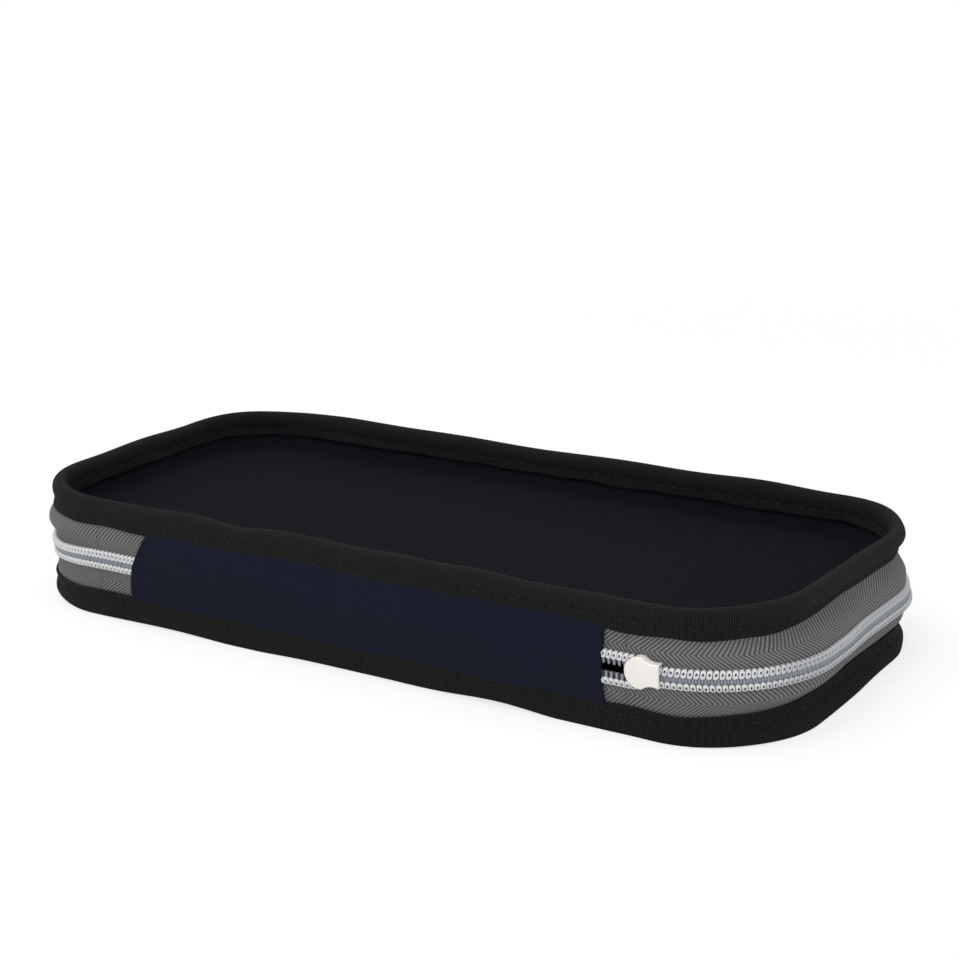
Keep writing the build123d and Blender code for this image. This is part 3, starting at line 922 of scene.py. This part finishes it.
def clean_mesh(piece):
    """Joins points that fall together, drops faces with no area, and points the rest outwards."""
    work = bmesh.new()
    work.from_mesh(piece.data)
    bmesh.ops.remove_doubles(work, verts=work.verts, dist=0.01 * MM)
    bmesh.ops.dissolve_degenerate(work, edges=work.edges, dist=0.01 * MM)
    bmesh.ops.recalc_face_normals(work, faces=work.faces)
    work.to_mesh(piece.data)
    work.free()


lid_over = [(2.6, 31.6), (3.55, 30.4), (3.85, 29.0), (4.7, 27.9), (5.9, 27.1), (7.2, 26.1), (9.2, 25.25), (12.5, 25.0)]
lid_under = [(2.6, 31.6), (1.75, 30.4), (1.65, 29.0), (2.6, 27.5), (4.4, 25.2), (6.2, 22.9), (8.0, 22.1), (12.5, 22.0)]
base_over = [(2.6, 6.2), (1.75, 6.8), (1.65, 8.4), (1.8, 9.9), (2.5, 10.8), (4.0, 11.15), (8, 11.2), (12.5, 11.2)]
base_under = [(2.6, 6.2), (3.4, 6.6), (3.75, 7.6), (4.6, 8.15), (6.0, 8.3), (9.0, 8.25), (12.5, 8.25)]
lid_pad = panel("lid_pad", lid_over, lid_under, 0.30, 12, upper_tuck)
base_pad = panel("base_pad", base_over, base_under, 0.22, 19, lower_tuck)

# %% [markdown]
# ## Slider and pull
# The pull keeps its solid and only takes the enamel. A cast slider has no sharp edges, so a copy of its solid is joined
# up, trimmed a little to the size in the photograph, and given rounded edges.

# %% Round and enamel the slider
def rounded_copy(name, node, middle, trim, lift, edge):
    """A copy of a solid, trimmed about a middle point, lifted, and with its sharp edges rounded."""
    work = bmesh.new()
    work.from_mesh(node.data)
    bmesh.ops.remove_doubles(work, verts=work.verts, dist=0.002 * MM)
    bmesh.ops.dissolve_limit(work, angle_limit=math.radians(2), verts=work.verts, edges=work.edges)
    for vert in work.verts:
        vert.co.x = middle.x + (vert.co.x - middle.x) * trim
        vert.co.z = middle.z + (vert.co.z - middle.z) * trim + lift
    sharp = [e for e in work.edges if len(e.link_faces) == 2 and e.calc_face_angle() > math.radians(28)]
    bmesh.ops.bevel(work, geom=sharp, offset=edge, segments=3, profile=0.5, affect="EDGES", clamp_overlap=True)
    bmesh.ops.recalc_face_normals(work, faces=work.faces)
    mesh = bpy.data.meshes.new(name)
    work.to_mesh(mesh)
    work.free()
    mesh.polygons.foreach_set("use_smooth", [True] * len(mesh.polygons))
    mesh.set_sharp_from_angle(angle=math.radians(35))
    mesh.materials.append(slider_enamel)
    piece = bpy.data.objects.new(name, mesh)
    bpy.context.scene.collection.objects.link(piece)
    return piece


slider_middle = Vector((corner_x, -half_width, zip_line))
slider_cast = rounded_copy("slider_cast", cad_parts["zip_slider"], slider_middle, 0.905, 0.85 * MM, 0.22 * MM)
pull_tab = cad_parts["zip_pull"]
pull_tab.data.materials.clear()
pull_tab.data.materials.append(slider_enamel)
print("slider faces:", len(slider_cast.data.polygons))

# %% [markdown]
# ## Put the main pieces on their bodies
# Each piece rides on the body it is sewn to, and the solid it stands for is hidden. Short stubs and fold strips keep
# their place and ride on no body.

# %% Ride and replace
for piece, body, node_name, slot_name in (
    (upper_binding, "lid", "upper_binding", "binding_tape"), (lower_binding, "base", "lower_binding", "binding_tape"),
    (tapes["upper"], "lid", "upper_zip_tape", "zip_tape"), (tapes["lower"], "base", "lower_zip_tape", "zip_tape"),
    (coils["upper"], "lid", "upper_zip_coil", "zip_coil"), (coils["lower"], "base", "lower_zip_coil", "zip_coil"),
    (lid_pad, "lid", "lid_panel", "panel_cloth"), (base_pad, "base", "base_panel", "panel_cloth"),
    (spine_main, "spine", "spine_panel", "spine_cloth"), (slider_cast, "slider", "zip_slider", "slider_metal"),
):
    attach(piece, body)
    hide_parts(node_name)
for label, row in stitch_rows.items():
    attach(row, "lid" if label.startswith("upper") else "base")

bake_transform(spine_foot)
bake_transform(spine_head)
left_end, left_start = Vector((spine_low.x, 0, 0)), Vector((-91 * MM, 0, 0))
for kind, slot_name in ((tapes, "zip_tape"), (coils, "zip_coil")):
    for side, body in (("lower", "base"), ("upper", "lid")):
        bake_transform(kind[side + "_start"])
        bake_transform(kind[side + "_end"])

tape_cut = (float(ribbon(tape_section, tape_thickness, 20)[2].max()), float(stub_left - stub_right))

# %% [markdown]
# ## Floor and light
# The case stands on a white sweep under large soft lights. The camera sees the sweep as nearly white, and it still
# takes the case's shadow, so the case does not seem to float.

# %% Lay the floor and hang the lights
floor_mesh = bpy.data.meshes.new("floor")
reach = 6.0
floor_corners = [(-reach, -reach, 0), (reach, -reach, 0), (reach, reach, 0), (-reach, reach, 0)]
floor_mesh.from_pydata(floor_corners, [], [(0, 1, 2, 3)])
floor = bpy.data.objects.new("floor", floor_mesh)
bpy.context.scene.collection.objects.link(floor)
paper = bpy.data.materials.new("white_sweep")
paper.use_nodes = True
tree = paper.node_tree
matt = tree.nodes["Principled BSDF"]
matt.inputs["Base Color"].default_value = (0.86, 0.86, 0.86, 1)
matt.inputs["Roughness"].default_value = 0.9
glow = tree.nodes.new("ShaderNodeEmission")
seen = tree.nodes.new("ShaderNodeLightPath").outputs["Is Camera Ray"]
paper_mix = tree.nodes.new("ShaderNodeMixShader")
spot = tree.nodes.new("ShaderNodeNewGeometry").outputs[0]
away = link_up(tree, "ShaderNodeVectorMath", {"operation": "LENGTH"}, i0=spot)
glowing = link_up(tree, "ShaderNodeMapRange", None, i0=away.outputs["Value"], i1=0.17, i2=0.55, i3=0.74, i4=1.0)
tree.links.new(maths(tree, "MULTIPLY", seen, glowing.outputs[0]), paper_mix.inputs[0])
tree.links.new(matt.outputs[0], paper_mix.inputs[1])
tree.links.new(glow.outputs[0], paper_mix.inputs[2])
tree.links.new(paper_mix.outputs[0], tree.nodes["Material Output"].inputs[0])
floor_mesh.materials.append(paper)

world = bpy.data.worlds.new("studio")
bpy.context.scene.world = world
world.use_nodes = True
tree = world.node_tree
sky = tree.nodes["Background"]
sky.inputs[0].default_value = (1, 1, 1, 1)
path = tree.nodes.new("ShaderNodeLightPath")
plain = maths(tree, "MAXIMUM", path.outputs["Is Camera Ray"], path.outputs["Is Glossy Ray"])
plain = maths(tree, "MAXIMUM", plain, path.outputs["Is Transmission Ray"])
tree.links.new(grey_range(tree, plain, 0.55, 1.0), sky.inputs[1])


def soft_light(name, place, aim, size, power):
    lamp = bpy.data.lights.new(name, "AREA")
    lamp.shape, lamp.size, lamp.energy = "SQUARE", size, power
    holder = bpy.data.objects.new(name, lamp)
    holder.matrix_world = Matrix.LocRotScale(
        Vector(place), (Vector(aim) - Vector(place)).to_track_quat("-Z", "Y"), None
    )
    bpy.context.scene.collection.objects.link(holder)


soft_light("top_light", (-0.25, -0.15, 0.95), (0, 0, 0), 0.9, 7.0)
soft_light("front_light", (0.35, -1.0, 0.55), (0.05, -0.05, 0.02), 0.7, 5.0)
soft_light("right_light", (1.0, 0.1, 0.5), (0.1, 0, 0.02), 0.6, 2.5)
bpy.context.scene.view_settings.view_transform = "Standard"
